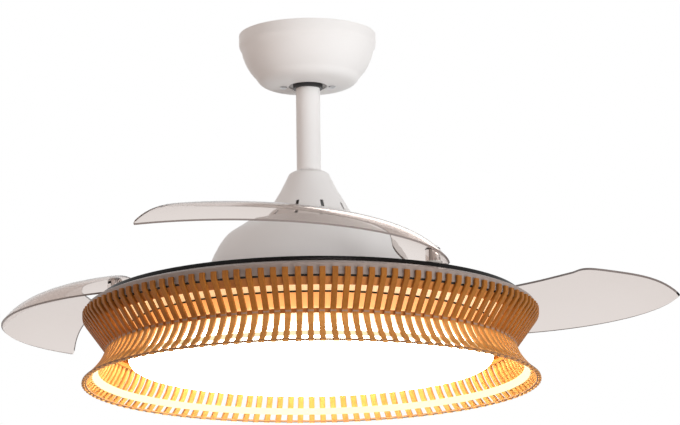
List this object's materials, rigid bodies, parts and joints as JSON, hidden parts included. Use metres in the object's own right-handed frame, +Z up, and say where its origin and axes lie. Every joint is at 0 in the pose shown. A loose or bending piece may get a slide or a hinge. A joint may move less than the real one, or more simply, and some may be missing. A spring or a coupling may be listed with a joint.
{
  "type": "ceiling fan with folding blades and light",
  "caption": "Ceiling fan on a down rod with clear blades that fold over a disc, and a lit drum light inside an hourglass shade of upright wooden slats.",
  "frame": {"origin": "middle of the face of the bracket plate that lies on the ceiling", "axes": "+Z up out of that face along the down rod; +X to the right as pictured; the picture was taken from -Y, from below"},
  "size_m": [0.7601, 0.7201, 0.395],
  "materials": {
    "zinc_steel": "zinc plated",
    "white_metal": "satin white",
    "black_gloss": "gloss black",
    "screw_steel": "bright steel",
    "spring_steel": "drawn wire",
    "dark_steel": "dark phosphated steel",
    "winding_copper": "lacquered copper wire",
    "grey_plastic": "matte light grey",
    "clear_blade": "clear moulded acrylic with a faint warm grey tint",
    "black_rubber": "matte black",
    "lit_diffuser": "opal, lit from inside",
    "carrier_aluminium": "plain",
    "board_white": "white solder mask",
    "slat_wood": "oiled brown wood",
    "hoop_cream": "pale, lit by the drum"
  },
  "bodies": {
    "ceiling_side": {"ceiling_bracket": "zinc_steel", "canopy": "white_metal", "canopy_screw_1": "screw_steel", "canopy_screw_2": "screw_steel", "remote_receiver": "grey_plastic"},
    "hung_fan": {"shaft_nut": "zinc_steel", "down_rod": "white_metal", "rod_cover": "white_metal", "motor_housing": "white_metal", "light_pan": "white_metal", "trim_ring": "white_metal", "hanger_ball": "black_gloss", "collar_screw_1": "screw_steel", "collar_screw_2": "screw_steel", "collar_screw_3": "screw_steel", "ball_pin": "screw_steel", "coupling_pin": "screw_steel", "hollow_shaft": "screw_steel", "upper_bearing": "screw_steel", "lower_bearing": "screw_steel", "rod_coupling": "dark_steel", "motor_collar": "dark_steel", "stator_core": "dark_steel", "stator_windings": "winding_copper", "supply_cable": "grey_plastic", "led_driver": "grey_plastic", "seam_gasket": "black_rubber", "diffuser": "lit_diffuser", "led_carrier": "carrier_aluminium", "led_board": "board_white", "shade_top_hoop": "slat_wood", "shade_rim": "slat_wood", "slat_bank_1": "slat_wood", "slat_bank_2": "slat_wood", "slat_bank_3": "slat_wood", "slat_bank_4": "slat_wood", "slat_bank_5": "slat_wood", "slat_bank_6": "slat_wood", "slat_bank_7": "slat_wood", "slat_bank_8": "slat_wood", "slat_bank_9": "slat_wood", "slat_bank_10": "slat_wood", "shade_bottom_hoop": "hoop_cream"},
    "rotor": {"rotor_shell": "dark_steel", "magnet_ring": "dark_steel", "rotor_end_plate": "dark_steel", "blade_tray": "black_gloss", "tray_screw_1": "screw_steel", "tray_screw_2": "screw_steel", "tray_screw_3": "screw_steel", "blade_pivot_1": "screw_steel", "blade_pivot_2": "screw_steel", "blade_pivot_3": "screw_steel", "return_spring_1": "spring_steel", "return_spring_2": "spring_steel", "return_spring_3": "spring_steel"},
    "blade_1": {"blade_1": "clear_blade"},
    "blade_2": {"blade_2": "clear_blade"},
    "blade_3": {"blade_3": "clear_blade"}
  },
  "joints": [
    {"name": "ball_swing", "type": "hinge", "parent": "ceiling_side", "child": "hung_fan", "pos_m": [0, 0, -0.033], "axis": [0, 1, 0], "range_deg": [-8, 8]},
    {"name": "rotor_spin", "type": "hinge", "parent": "hung_fan", "child": "rotor", "pos_m": [0, 0, -0.285], "axis": [0, 0, 1], "continuous": true},
    {"name": "blade_1_fold", "type": "hinge", "parent": "rotor", "child": "blade_1", "pos_m": [0.13029, -0.17103, -0.298], "axis": [0, 0, 1], "range_deg": [-48.3, 13.7]},
    {"name": "blade_2_fold", "type": "hinge", "parent": "rotor", "child": "blade_2", "pos_m": [0.08297, 0.19835, -0.298], "axis": [0, 0, 1], "range_deg": [-48.8, 13.2]},
    {"name": "blade_3_fold", "type": "hinge", "parent": "rotor", "child": "blade_3", "pos_m": [-0.21326, -0.02732, -0.298], "axis": [0, 0, 1], "range_deg": [-56.5, 5.5]}
  ]
}
